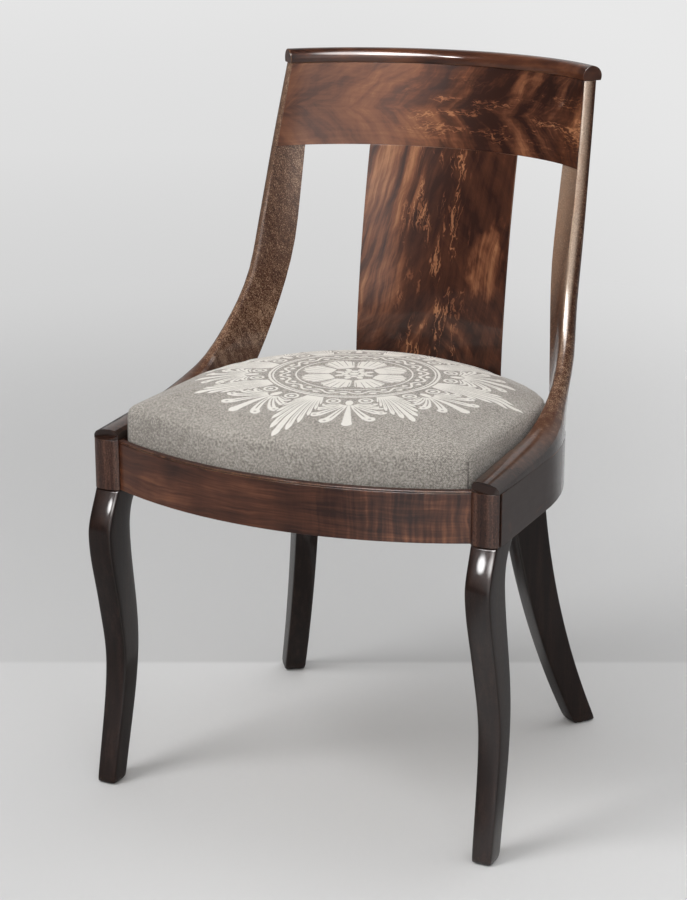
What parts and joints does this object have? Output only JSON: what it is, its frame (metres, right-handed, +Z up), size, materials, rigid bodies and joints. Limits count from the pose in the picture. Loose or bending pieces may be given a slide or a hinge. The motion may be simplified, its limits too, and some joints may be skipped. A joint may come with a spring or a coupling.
{
  "type": "gondola side chair",
  "caption": "Barrel-backed dining side chair with arms sweeping up into the back, a curved veneered crest, a plain splat, curved front legs, sabre rear legs and a drop-in padded seat",
  "frame": {"origin": "on the floor, at the middle of the chair's overall length and width", "axes": "+Z is up, +X is to the right of someone facing the chair's front, and the chair faces -Y"},
  "size_m": [0.4898, 0.5193, 0.8002],
  "materials": {
    "figured_mahogany": "french polished crotch veneer",
    "plain_mahogany": "french polished",
    "dark_mahogany": "dark stained, high polish",
    "secondary_wood": "planed, unfinished",
    "jute": "woven jute",
    "horsehair": "curled hair stuffing",
    "woven_cloth": "woven upholstery cloth with a pale medallion"
  },
  "bodies": {
    "frame": {"front_post_left": "plain_mahogany", "front_post_right": "plain_mahogany", "front_leg_left": "dark_mahogany", "front_leg_right": "dark_mahogany", "front_rail": "secondary_wood", "front_rail_veneer": "figured_mahogany", "front_rail_bead": "plain_mahogany", "side_rail_left": "secondary_wood", "side_rail_right": "secondary_wood", "side_veneer_left": "figured_mahogany", "side_veneer_right": "figured_mahogany", "rear_rail": "secondary_wood", "rear_veneer": "figured_mahogany", "stile_left": "plain_mahogany", "stile_right": "plain_mahogany", "crest_rail": "plain_mahogany", "crest_veneer": "figured_mahogany", "crest_roll": "figured_mahogany", "splat": "plain_mahogany", "splat_veneer": "figured_mahogany", "rear_leg_left": "dark_mahogany", "rear_leg_right": "dark_mahogany", "front_block_left": "secondary_wood", "front_block_right": "secondary_wood", "rear_block_left": "secondary_wood", "rear_block_right": "secondary_wood", "stile_dowel_left_1": "secondary_wood", "stile_dowel_left_2": "secondary_wood", "stile_dowel_right_1": "secondary_wood", "stile_dowel_right_2": "secondary_wood", "crest_dowel_left_1": "secondary_wood", "crest_dowel_left_2": "secondary_wood", "crest_dowel_right_1": "secondary_wood", "crest_dowel_right_2": "secondary_wood", "rail_dowel_left": "secondary_wood", "rail_dowel_right": "secondary_wood"},
    "slip_seat": {"slip_frame_front": "secondary_wood", "slip_frame_rear": "secondary_wood", "slip_frame_left": "secondary_wood", "slip_frame_right": "secondary_wood", "web_cross_first": "jute", "web_cross_middle": "jute", "web_cross_last": "jute", "web_long_first": "jute", "web_long_middle": "jute", "web_long_last": "jute", "hessian": "jute", "seat_stuffing": "horsehair", "seat_cover": "woven_cloth"}
  },
  "joints": [
    {"name": "seat_lift", "type": "slide", "parent": "frame", "child": "slip_seat", "axis": [0, 0, 1], "range_m": [0, 0.08]}
  ]
}
